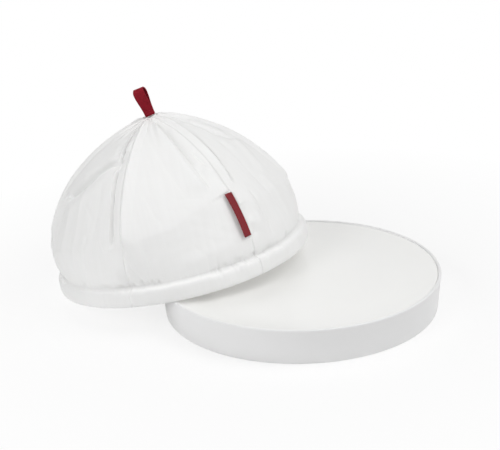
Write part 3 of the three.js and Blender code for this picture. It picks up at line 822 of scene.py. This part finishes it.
edge_steps = np.array(EDGE_PLACES) / (GORE_PITCH * BULGE_RADIUS)
side_steps = np.concatenate([edge_steps, np.linspace(edge_steps[-1], GROOVE_REACH, GROOVE_COLUMNS)[1:]])
middle_steps = np.linspace(side_steps[-1], 1 - side_steps[-1], MIDDLE_COLUMNS)[1:-1]
outer_shares = np.concatenate([side_steps, middle_steps, 1 - side_steps[::-1]]) - 0.5
OUTER_COLUMNS = len(outer_shares)
dome_turns = turns_down(DOME_ROWS)
dome_radius, dome_height = meridian(dome_turns)
hem_turns = np.radians(np.linspace(HEM_TURN_START, HEM_TURN_END, HEM_ROWS))
hem_seam_lines = []
for gore in range(GORES):
    azimuth = gore_azimuths(gore, outer_shares, dome_radius, CLOTH_JOIN)
    across = outer_shares[None, :] * GORE_PITCH * dome_radius[:, None]
    down = columned(down_at(dome_turns), OUTER_COLUMNS)
    high = columned(dome_height, OUTER_COLUMNS)
    place = np.stack([across, fine_down[-1] - down], axis=-1)
    to_seam = GORE_PITCH * dome_radius[:, None] * (0.5 - np.abs(outer_shares)[None, :])
    free = ease(to_seam, *FREE_SIDE) * ease(high, *FREE_FOOT) * ease(DOME_HEIGHT - high, *FREE_TOP)
    # The seams give their rise and the painted shade of their creases.
    seam_rise, painted_crease_shade = seam_cloth(gore, across, high, dome_radius)
    relief = free * sum(fold_relief(place, *fold) for fold in FOLDS[gore] + small_wrinkles())
    relief += seam_rise + crown_gathers(gore, outer_shares[None, :], high)
    # Painted shade along the creases across this gore.
    for path, depth, left, right in PAINTED_CREASES.get(gore, []):
        painted_crease_shade += free * fold_relief(place, path, depth, left, right, PAINTED_CREASE_SHARPNESS)
    for swell_azimuth, swell_height, rise, reach in SWELLS:
        swell_across = turned_from(azimuth, math.radians(swell_azimuth), 2 * np.pi) * dome_radius[:, None]
        relief += rise * np.exp(-((np.hypot(swell_across, high - swell_height) / reach) ** 2))
    drawn = ditch_depth(azimuth)
    over_hem = high - NECK_HEIGHT
    least_tuck, tuck_growth = TUCK_DEPTH_SHARE
    pinched = marks_round(azimuth, pinches) * np.exp(-(((over_hem - PINCH_HEIGHT) / PINCH_REACH) ** 2))
    relief += (least_tuck + tuck_growth * drawn) * pucker(azimuth, over_hem)
    relief -= drawn * np.exp(-over_hem / DITCH_REACH) + pinched
    # The ditch and the pinches get painted shade as well.
    painted_crease_shade += DITCH_PAINTED_SHADE * drawn * np.exp(-((over_hem / DITCH_PAINTED_SHADE_HEIGHT) ** 2)) + PINCH_PAINTED_SHADE * pinched
    beside_stay = np.maximum(ease(to_seam, *STAY_SIDES), ease(STAY_FOOT - high, 0, STAY_FOOT_FADE))
    deepest = DEEPEST_OVER_STAY + (DEEPEST_FOLD - DEEPEST_OVER_STAY) * beside_stay
    cloth = dome_points(columned(dome_turns, OUTER_COLUMNS), azimuth, np.maximum(relief, deepest))

    hem_azimuth = gore_azimuths(gore, outer_shares, np.array([HEM_RADIUS]), CLOTH_JOIN)
    hem_azimuth = np.repeat(hem_azimuth, HEM_ROWS, axis=0)
    hem_turn = columned(hem_turns, OUTER_COLUMNS)
    hem_across = np.repeat(outer_shares[None, :] * GORE_PITCH * HEM_RADIUS, HEM_ROWS, axis=0)
    hem_edge = GORE_PITCH * HEM_RADIUS / 2 - np.abs(hem_across)
    outside = ease(hem_turn, math.radians(HEM_INSIDE), math.radians(HEM_OUTSIDE))
    hem_tucks = HEM_TUCK_SHARE * ditch_depth(hem_azimuth) * pucker(hem_azimuth, 0.0)
    twisted = ROLL_TWIST * hem_turn
    rolled = sum(size * np.sin(n * hem_azimuth + shift + twisted) for n, shift, size in roll_waves)
    hem_relief = outside * (hem_tucks * ease(hem_turn, *HEM_TUCK_TURNS) + rolled)
    hem_relief -= HEM_SEAM_DIP * np.exp(-((hem_edge / SEAM_DIP_WIDTH) ** 2))
    hem_radius = HEM_RADIUS + (HEM_HALF_WIDTH + hem_relief) * squared(np.cos(hem_turn))
    hem = around(hem_radius, hem_azimuth, (HEM_HALF_HEIGHT + hem_relief) * squared(np.sin(hem_turn)))
    hem_run = (math.radians(HEM_TURN_START) - hem_turn) * (HEM_HALF_WIDTH + HEM_HALF_HEIGHT) / 2

    hem_seam_lines.append(cloth[-HEM_SEAM_ROW])
    panel = sew_gore("outer_gore", gore, np.concatenate([cloth, hem]), np.concatenate([across, hem_across]),
                     np.concatenate([down, fine_down[-1] + hem_run]), white_cotton, OUTER_CLOTH)
    # The painted shade of the dome goes on the panel's points as an attribute; the hem gets none.
    painted_shade = np.concatenate([np.clip(painted_crease_shade, 0, 1), np.zeros_like(hem_across)]).astype(np.float32)
    panel.data.attributes.new("painted_crease_shade", "FLOAT", "POINT").data.foreach_set("value", painted_shade.ravel())
    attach(panel, "cover")
    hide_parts(f"outer_panel_{gore + 1}")

# Hem stitches: one row of white cotton thread in the ditch over the hem, which closes the casing.
# Each stitch is a short plump thread, half sunk in the cloth.
STITCH_LENGTH = 2.5
STITCH_PITCH = 3.4
THREAD_RADIUS = 0.28
THREAD_SIDES = 6
THREAD_ENDS = [(-0.5, 0.3), (-0.36, 0.9), (0.0, 1.0), (0.36, 0.9), (0.5, 0.3)]


def stitch_row(line, outward):
    """Points and faces of stitches spaced along a line, given the way out of the cloth at its points."""
    run = run_along(line)
    points, faces = [], []
    for centre in np.arange(STITCH_PITCH / 2, run[-1] - STITCH_LENGTH / 2, STITCH_PITCH):
        spots = centre + np.array([place for place, _ in THREAD_ENDS]) * STITCH_LENGTH
        path = np.stack([np.interp(spots, run, line[:, k]) for k in range(3)], axis=-1)
        out = np.array([np.interp(centre, run, outward[:, k]) for k in range(3)])
        way = path[-1] - path[0]
        side = np.cross(way, out)
        side /= np.linalg.norm(side)
        out = np.cross(side, way)
        out /= np.linalg.norm(out)
        thread_faces = capped_faces(len(THREAD_ENDS), THREAD_SIDES)
        faces += [tuple(len(points) + index for index in face) for face in thread_faces]
        for at, (_, plump) in zip(path, THREAD_ENDS):
            for angle in np.arange(THREAD_SIDES) * 2 * np.pi / THREAD_SIDES:
                points.append(at + THREAD_RADIUS * plump * (math.cos(angle) * side + math.sin(angle) * out))
    return points, faces


def sewn(name, rows, finish):
    """One piece that holds several rows of stitches."""
    points, faces = [], []
    for row_points, row_faces in rows:
        faces += [tuple(len(points) + index for index in face) for face in row_faces]
        points += row_points
    return new_piece(name, points, faces, finish)


white_thread = surface(
    "white_cotton_thread", moulded_skin,
    {"Colour": (0.86, 0.86, 0.85, 1), "Cloud colour": (0.80, 0.80, 0.79, 1), "Gloss": 0.75, "Dull": 0.95},
    bump=0.3, bump_height=0.0001, settings={"Specular IOR Level": 0.3},
)
hem_rows = []
for hem_line in hem_seam_lines:
    from_axis = hem_line * (1, 1, 0) / np.linalg.norm(hem_line[:, :2], axis=1)[:, None]
    hem_rows.append(stitch_row(on_tray(hem_line), from_axis @ cover_turn.T))
hem_stitches = sewn("hem_stitches", hem_rows, white_thread)
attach(hem_stitches, "cover")

# Crown patch: a round of the same cotton under the crown, with the gores' tips gathered into its middle.
# The gathered cloth fills the opening between the tips, round the root of the pull loop.
PATCH_RADIUS = 15.0
PATCH_THICKNESS = 2.2
PATCH_DEPTH = 2.4
PATCH_EDGE = 0.5
PATCH_SHOULDER = (1.5, -0.4)
PATCH_HOLE = 0.2
PATCH_STEPS = 120
PATCH_CUT_PLACE = 300.0
PLUG_RADIUS = 6.6
# The gather's profile: mm from the plug's edge, and over the crown.
GATHER = [(0.0, -0.8), (-0.5, 0.1), (-1.4, 0.4), (-3.0, 0.3), (-4.6, 0.0)]
GATHER_MIDDLE = -0.3
GATHER_DEPTH = 2.0
GATHER_RADII = (0.5, 4.0)
GATHER_LEAN = 0.3
GATHER_SIDES = (-1.2, 5.4)
PLEATS = 15
PLEAT_DEPTH = 0.25
PLEAT_DRIFT = 0.8
PLEAT_DRIFTS = 3
crown_height = float(meridian(CROWN_TURN)[1])
patch_rim = float(meridian(turn_at_radius(PATCH_RADIUS))[1]) - PATCH_DEPTH
patch_middle = crown_height - PATCH_DEPTH
shoulder_out, shoulder_up = PATCH_SHOULDER
patch_profile = [
    (PATCH_HOLE, patch_middle - PATCH_THICKNESS),
    (PLUG_RADIUS, patch_middle - PATCH_THICKNESS),
    (PATCH_RADIUS - PATCH_EDGE, patch_rim - PATCH_THICKNESS),
    (PATCH_RADIUS, patch_rim - PATCH_THICKNESS / 2),
    (PATCH_RADIUS - PATCH_EDGE, patch_rim),
    (PLUG_RADIUS + shoulder_out, patch_middle + shoulder_up),
    (PLUG_RADIUS, patch_middle),
    *[(PLUG_RADIUS + out, crown_height + up) for out, up in GATHER],
    (PATCH_HOLE, crown_height + GATHER_MIDDLE),
]
patch_radius, patch_height = (columned(values, PATCH_STEPS) for values in np.array(patch_profile).T)
patch_angle = np.arange(PATCH_STEPS) * 2 * np.pi / PATCH_STEPS
pleat = np.sin(PLEATS * patch_angle + PLEAT_DRIFT * np.sin(PLEAT_DRIFTS * patch_angle))
gathered = ease(patch_height, crown_height - GATHER_DEPTH, crown_height) * ease(patch_radius, *GATHER_RADII)
pleated_radius = patch_radius - PLEAT_DEPTH * gathered * (1 - pleat)
leaning = GATHER_LEAN * np.clip(patch_radius * np.cos(patch_angle), *GATHER_SIDES)
leaned_height = patch_height + gathered * (PLEAT_DEPTH * pleat + leaning)
patch_points = around(pleated_radius, patch_angle, leaned_height)
patch_faces = capped_faces(len(patch_profile), PATCH_STEPS)
crown_patch = new_piece("crown_gather", on_tray(patch_points.reshape(-1, 3)), patch_faces, white_cotton)
lay_cut(crown_patch, patch_points[:, :, 0], patch_points[:, :, 1], PATCH_CUT_PLACE)
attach(crown_patch, "cover")
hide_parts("crown_patch")

# Pull loop: red woven tape folded over to a flat loop and sewn in at the crown.
# It narrows a little to its root, where rows of stitches hold the two legs together.
LOOP_WIDTH = 12.0
LOOP_ROOT_WIDTH = 10.4
LOOP_WIDENS = (-2.0, 20.0)
LOOP_HEIGHT = 30.5
LOOP_TAPE = 1.4
LOOP_GAP = 8.0
LOOP_ROOT_RADIUS = 2.0
LOOP_LEAN = math.radians(11.5)
LOOP_YAW = math.radians(2)
LOOP_TWIST = math.radians(-11)
LOOP_TWISTS = (3.0, 22.0)
LOOP_CORNER = 1.1
LEG_PLAY = 0.25
LEG_SUNK = 0.4
LEG_OPENS = (0.12, 1.0)
LEG_STEPS = 26
FOLD_STEPS = 22
LOOP_SEAM_HEIGHTS = (1.2, 3.4)
LOOP_SEAM_INSET = 1.0
LOOP_SEAM_STEPS = 12
RED = (0.31, 0.011, 0.025, 1)
DEEP_RED = (0.17, 0.005, 0.012, 1)
# The tape's section: shares of its width from one edge in, with the shares of its thickness there.
TAPE_EDGE = [(0.5, 0.35), (0.485, 0.82), (0.45, 1.0)]
TAPE_FACE = 0.4
TAPE_FACE_STEPS = 11
SELVEDGE = 0.12
SELVEDGE_SHARES = (0.44, 0.49)

# Ribbed tape: fine ribs across the tape, with thread ends along them, on the same flat cut.
ribbed_tape, tape_in, tape_out = new_group("ribbed_tape", {
    "Colour": RED, "Thread colour": DEEP_RED, "Rib pitch": 0.0008, "Dull": 0.8,
})
tape_place, tape_across, tape_down = place_on_cut(ribbed_tape)
rib_wave = thread_wave(ribbed_tape, tape_down, 2.0, tape_in["Rib pitch"])
cross_wave = thread_wave(ribbed_tape, tape_across, 3.1, tape_in["Rib pitch"])
rib_ends = math_node(ribbed_tape, "MULTIPLY", cross_wave, rib_wave)
rib = weighted_sum(ribbed_tape, (rib_wave, 1.0), (rib_ends, 0.5))
tape_fray = stretched_noise(ribbed_tape, tape_place, scale=(900.0, 260.0, 9.0), detail=3.0)
tape_shade = weighted_sum(ribbed_tape, (rib, 0.16), (tape_fray, 1.0))
tape_tone = range_node(ribbed_tape, tape_shade, low=0.25, high=0.75)
feed(ribbed_tape, tape_out, {
    "Colour": mix_colour(ribbed_tape, tape_tone, tape_in["Thread colour"], tape_in["Colour"]),
    "Roughness": range_node(ribbed_tape, tape_fray, 0.3, 0.7, 0.6, tape_in["Dull"]),
    "Grain": weighted_sum(ribbed_tape, (rib, 0.5), (tape_fray, 1.0)),
})
red_tape = surface(
    "red_woven_tape", ribbed_tape,
    {"Colour": RED, "Thread colour": DEEP_RED, "Rib pitch": 0.0009, "Dull": 0.8},
    bump=0.5, bump_height=0.0002, settings={"Sheen Weight": 0.02, "Specular IOR Level": 0.12},
)
loop_lift = LOOP_WIDTH / 2 * math.sin(LOOP_LEAN)
loop_root = crown_height + SEAT_GAP + LOOP_ROOT_RADIUS + loop_lift
loop_place = (
    cover_place
    @ Matrix.Translation((0, 0, loop_root))
    @ Matrix.Rotation(LOOP_YAW, 4, "Z")
    @ Matrix.Rotation(-LOOP_LEAN, 4, "Y")
)
loop_turn = np.array(loop_place.to_3x3())
loop_shift = np.array(loop_place.translation)
loop_radius = LOOP_GAP / 2 + LOOP_TAPE / 2
fold_height = LOOP_HEIGHT - LOOP_ROOT_RADIUS - loop_radius - LOOP_TAPE / 2
leg_half = LOOP_TAPE / 2 + LEG_PLAY
leg_foot = LEG_SUNK - LOOP_ROOT_RADIUS
leg_rise = np.linspace(0, 1, LEG_STEPS)
leg_spread = leg_half + (loop_radius - leg_half) * ease(leg_rise, *LEG_OPENS)
leg_height = leg_foot + (fold_height - leg_foot) * leg_rise
fold_angle = np.linspace(0, np.pi, FOLD_STEPS)[1:-1]
loop_line = np.concatenate([
    np.stack([leg_spread, leg_height], axis=-1),
    np.stack([loop_radius * np.cos(fold_angle), fold_height + loop_radius * np.sin(fold_angle)], axis=-1),
    np.stack([-leg_spread[::-1], leg_height[::-1]], axis=-1),
])
loop_way = np.gradient(loop_line, axis=0)
loop_way /= np.linalg.norm(loop_way, axis=1)[:, None]
loop_out = np.stack([loop_way[:, 1], -loop_way[:, 0]], axis=-1)
loop_length = run_along(loop_line)
loop_width = LOOP_ROOT_WIDTH + (LOOP_WIDTH - LOOP_ROOT_WIDTH) * ease(loop_line[:, 1], *LOOP_WIDENS)
loop_width -= LOOP_CORNER * ease(loop_line[:, 1], fold_height + loop_radius / 3, fold_height + loop_radius)
edge_shares, edge_thickness = np.array(TAPE_EDGE).T
face_shares = np.linspace(-TAPE_FACE, TAPE_FACE, TAPE_FACE_STEPS)
tape_shares = np.concatenate([-edge_shares, face_shares, edge_shares[::-1]])
tape_edge = np.concatenate([edge_thickness, np.ones(TAPE_FACE_STEPS), edge_thickness[::-1]])
selvedge_start, selvedge_end = SELVEDGE_SHARES
in_selvedge = (np.abs(tape_shares) > selvedge_start) * (np.abs(tape_shares) < selvedge_end)
half_tape = (LOOP_TAPE / 2) * tape_edge * (1 + SELVEDGE * in_selvedge) / (1 + SELVEDGE)

# Rows of points round the tape: its outer face from edge to edge, then its inner face back.
round_shares = np.concatenate([tape_shares, tape_shares[::-1]])
round_half = np.concatenate([half_tape, -half_tape[::-1]])
loop_ring = len(round_shares)
loop_side = loop_width[:, None] * round_shares
loop_depth, loop_rise = (
    columned(loop_line[:, k], loop_ring) + loop_out[:, k, None] * round_half for k in range(2)
)
twist = LOOP_TWIST * ease(loop_rise, *LOOP_TWISTS)
loop_points = np.stack([
    loop_side * np.cos(twist) - loop_depth * np.sin(twist),
    loop_side * np.sin(twist) + loop_depth * np.cos(twist),
    loop_rise,
], axis=-1).reshape(-1, 3)
loop_faces = capped_faces(len(loop_line), loop_ring)
pull_loop = new_piece("pull_loop_tape", loop_points @ loop_turn.T + loop_shift, loop_faces, red_tape)
lay_cut(pull_loop, loop_side, columned(loop_length, loop_ring), 0.0)
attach(pull_loop, "loop")
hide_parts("pull_loop")
red_thread = surface(
    "red_thread", moulded_skin,
    {"Colour": RED, "Cloud colour": DEEP_RED, "Gloss": 0.6, "Dull": 0.8},
    bump=0.3, bump_height=0.0001, settings={"Specular IOR Level": 0.3},
)
seam_half = LOOP_ROOT_WIDTH / 2 - LOOP_SEAM_INSET
seam_side = np.linspace(-seam_half, seam_half, LOOP_SEAM_STEPS)
loop_seams = []
for seam_rise in LOOP_SEAM_HEIGHTS:
    spread = float(np.interp(seam_rise, leg_height, leg_spread)) + LOOP_TAPE / 2
    for face in (-1, 1):
        loop_seam = np.array([(side, face * spread, seam_rise) for side in seam_side])
        seam_out = np.tile([0.0, face, 0.0], (LOOP_SEAM_STEPS, 1))
        loop_seams.append(stitch_row(loop_seam @ loop_turn.T + loop_shift, seam_out @ loop_turn.T))
loop_stitches = sewn("loop_stitches", loop_seams, red_thread)
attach(loop_stitches, "loop")

# Side tag: a short red woven tape, folded along its free edge and sewn by the other into a seam.
# Its face is bare. It stands a little off the front gore.
TAG_SEAM = FIRST_SEAM + GORE_PITCH
TAG_TOP_HEIGHT = 74.5
TAG_DROP = 42.4
TAG_WIDTH = 8.7
TAG_THICKNESS = 1.2
TAG_OPEN = math.radians(7)
TAG_CURL = 0.5
TAG_ROWS = 40
TAG_FACE_STEPS = 12
TAG_FOLD_STEPS = 9
TAG_LAYER = 0.5
TAG_SEAM_INSET = 1.4
TAG_CUT_PLACE = 3.0
LABEL_RED = (0.255, 0.019, 0.026, 1)
LABEL_DEEP_RED = (0.14, 0.009, 0.014, 1)
red_label = surface(
    "red_woven_label", ribbed_tape,
    {"Colour": LABEL_RED, "Thread colour": LABEL_DEEP_RED, "Rib pitch": 0.0007, "Dull": 0.85},
    bump=0.5, bump_height=0.0002, settings={"Sheen Weight": 0.04, "Specular IOR Level": 0.25},
)
tag_turns = np.linspace(turn_at_height(TAG_TOP_HEIGHT), turn_at_height(TAG_TOP_HEIGHT - TAG_DROP), TAG_ROWS)
tag_azimuth = np.full(TAG_ROWS, TAG_SEAM)
tag_root = dome_points(tag_turns, tag_azimuth, SEAT_GAP)
tag_up = dome_points(tag_turns, tag_azimuth, SEAT_GAP + 1) - tag_root
tag_side = np.array([math.sin(TAG_SEAM), -math.cos(TAG_SEAM), 0])
tag_down = run_along(tag_root)
upper, lower = TAG_THICKNESS - TAG_LAYER / 2, TAG_LAYER / 2
bend = (upper - lower) / 2
bend_middle = TAG_WIDTH - bend - TAG_LAYER / 2
tag_section = (
    [(x, upper) for x in np.linspace(0, bend_middle, TAG_FACE_STEPS)]
    + corner(bend_middle, lower + bend, bend, 90, -90, TAG_FOLD_STEPS - 1)[1:-1]
    + [(x, lower) for x in np.linspace(bend_middle, 0, TAG_FACE_STEPS)]
)
tag_across, tag_rise = np.array(tag_section).T
tag_curl = TAG_CURL * np.sin(np.pi * tag_down / tag_down[-1])
tag_lift = tag_rise + tag_across * math.sin(TAG_OPEN) + np.outer(tag_curl, (tag_across / TAG_WIDTH) ** 2)
tag_points = (
    tag_root[:, None, :]
    + (tag_across * math.cos(TAG_OPEN))[None, :, None] * tag_side
    + tag_lift[:, :, None] * tag_up[:, None, :]
).reshape(-1, 3)
tag_faces = grid_faces(TAG_ROWS, len(tag_section))
side_tag = new_piece("side_tag_tape", on_tray(tag_points), tag_faces, red_label)
lay_cut(side_tag, np.tile(tag_across, (TAG_ROWS, 1)), columned(tag_down, len(tag_section)), TAG_CUT_PLACE)
tag_cloth = side_tag.modifiers.new("cloth", "SOLIDIFY")
tag_cloth.thickness = TAG_LAYER * MM
tag_cloth.offset = 0
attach(side_tag, "tag")
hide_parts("side_tag")
tag_seam = tag_root + TAG_SEAM_INSET * math.cos(TAG_OPEN) * tag_side
tag_seam = tag_seam + (TAG_THICKNESS + TAG_SEAM_INSET * math.sin(TAG_OPEN)) * tag_up
tag_stitches = sewn("tag_stitches", [stitch_row(on_tray(tag_seam), tag_up @ cover_turn.T)], red_thread)
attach(tag_stitches, "tag")

# Studio: a plain pale floor under soft light from above and from both sides, and the photograph's view.
# The floor and the sky show white to the camera, and the floor keeps a soft shadow.
SKY_LIGHT = 0.01
FLOOR_SHARE = 0.25
FLOOR_NEAR = (0.18, 0.5)
FLOOR_REACH = 6.0
FLOOR_HEIGHT = -0.0004
FLOOR_COLOUR = (0.92, 0.92, 0.92, 1)
floor_mesh = bpy.data.meshes.new("floor")
floor_corners = [
    (x * FLOOR_REACH, y * FLOOR_REACH, FLOOR_HEIGHT) for x, y in ((-1, -1), (1, -1), (1, 1), (-1, 1))
]
floor_mesh.from_pydata(floor_corners, [], [(0, 1, 2, 3)])
floor = bpy.data.objects.new("floor", floor_mesh)
bpy.context.scene.collection.objects.link(floor)


def looked_at(tree):
    """1 for rays that look at a thing, straight or by gloss or glass, and 0 for light that bounces off it."""
    path = tree.nodes.new("ShaderNodeLightPath")
    straight = math_node(tree, "MAXIMUM", path.outputs["Is Camera Ray"], path.outputs["Is Glossy Ray"])
    return math_node(tree, "MAXIMUM", straight, path.outputs["Is Transmission Ray"])


floor_white = bpy.data.materials.new("floor_white")
floor_white.use_nodes = True
floor_tree = floor_white.node_tree
floor_tree.nodes.clear()
floor_place = floor_tree.nodes.new("ShaderNodeTexCoord").outputs["Object"]
from_middle = new_node(floor_tree, "VectorMath", {0: floor_place})
from_middle.operation = "LENGTH"
painted = range_node(floor_tree, from_middle.outputs["Value"], *FLOOR_NEAR, FLOOR_SHARE, 0.0)
glowing = math_node(floor_tree, "SUBTRACT", 1.0, painted)
blend = new_node(floor_tree, "MixShader", {
    0: math_node(floor_tree, "MULTIPLY", looked_at(floor_tree), glowing),
    1: new_node(floor_tree, "BsdfDiffuse", {"Color": FLOOR_COLOUR}).outputs[0],
    2: new_node(floor_tree, "Emission", {"Strength": 1.0}).outputs[0],
})
new_node(floor_tree, "OutputMaterial", {"Surface": blend.outputs[0]})
floor_mesh.materials.append(floor_white)

world = bpy.data.worlds.new("studio")
world.use_nodes = True
bpy.context.scene.world = world
sky_tree = world.node_tree
feed(sky_tree, sky_tree.nodes["Background"].inputs, {
    "Color": (1, 1, 1, 1), "Strength": range_node(sky_tree, looked_at(sky_tree), 0.0, 1.0, SKY_LIGHT, 1.0),
})
LIGHT_TARGET = Vector((-0.05, 0.0, 0.08))


def softbox(name, place, width, height, power):
    """A soft rectangular lamp that faces the object."""
    lamp = bpy.data.lights.new(name, "AREA")
    lamp.shape = "RECTANGLE"
    lamp.size = width
    lamp.size_y = height
    lamp.energy = power
    holder = bpy.data.objects.new(name, lamp)
    holder.location = place
    holder.rotation_mode = "QUATERNION"
    holder.rotation_quaternion = (LIGHT_TARGET - Vector(place)).to_track_quat("-Z", "Y")
    bpy.context.scene.collection.objects.link(holder)
    return holder


top_boxes = [
    softbox("top_box", (0.0, 0.1, 1.7), width=1.6, height=1.6, power=10.5),
    softbox("upper_right_box", (1.0, -0.3, 1.6), width=1.0, height=1.0, power=6.0),
]
softbox("high_right_box", (1.0, -0.3, 1.6), width=1.0, height=1.0, power=7.0)
softbox("right_box", (1.8, 0.0, 0.9), width=1.2, height=1.3, power=9.6)
softbox("left_box", (-1.8, -0.2, 0.8), width=1.2, height=1.3, power=7.3)
softbox("front_left_box", (-1.2, -1.5, 1.0), width=1.0, height=1.0, power=14.5)
softbox("front_box", (0.1, -1.9, 0.45), width=1.6, height=0.8, power=3.7)

# White cotton lets light through, so the cover throws no shadow from the two lamps above it.
top_blockers = bpy.data.collections.new("top_blockers")
for blocker in (tray_shell, base_plate, serving_plate, pull_loop, side_tag, floor):
    top_blockers.objects.link(blocker)
for top_box in top_boxes:
    top_box.light_linking.blocker_collection = top_blockers

CAMERA_RISE = math.radians(24.431)
CAMERA_DISTANCE = 1.5187
CAMERA_ROLL = math.radians(1.4224)
CAMERA_FOCUS = 1500.0
SENSOR_WIDTH = 36.0
FRAME_SIZE = (500.0, 450.0)
TRAY_PIXEL = (301.491, 303.075)
camera_at = CAMERA_DISTANCE * np.array([0, -math.cos(CAMERA_RISE), math.sin(CAMERA_RISE)])
back = camera_at / CAMERA_DISTANCE
right = np.array([1.0, 0, 0])
level = np.array([right, np.cross(back, right), back])
ray_right, ray_down = ((at - size / 2) / CAMERA_FOCUS for at, size in zip(TRAY_PIXEL, FRAME_SIZE))
ray = Vector((ray_right, -ray_down, -1))
swing = np.array(Vector((0, 0, -1)).rotation_difference(ray.normalized()).to_matrix())
roll = np.array(Matrix.Rotation(CAMERA_ROLL, 3, "Z"))
axes = swing @ roll @ level
lens = bpy.data.cameras.new("camera")
lens.sensor_fit = "HORIZONTAL"
lens.sensor_width = SENSOR_WIDTH
lens.lens = SENSOR_WIDTH * CAMERA_FOCUS / FRAME_SIZE[0]
camera = bpy.data.objects.new("camera", lens)
camera.matrix_world = Matrix.Translation(camera_at) @ Matrix(axes.T.tolist()).to_4x4()
bpy.context.scene.collection.objects.link(camera)
bpy.context.scene.camera = camera
bpy.context.scene.view_settings.view_transform = "Standard"
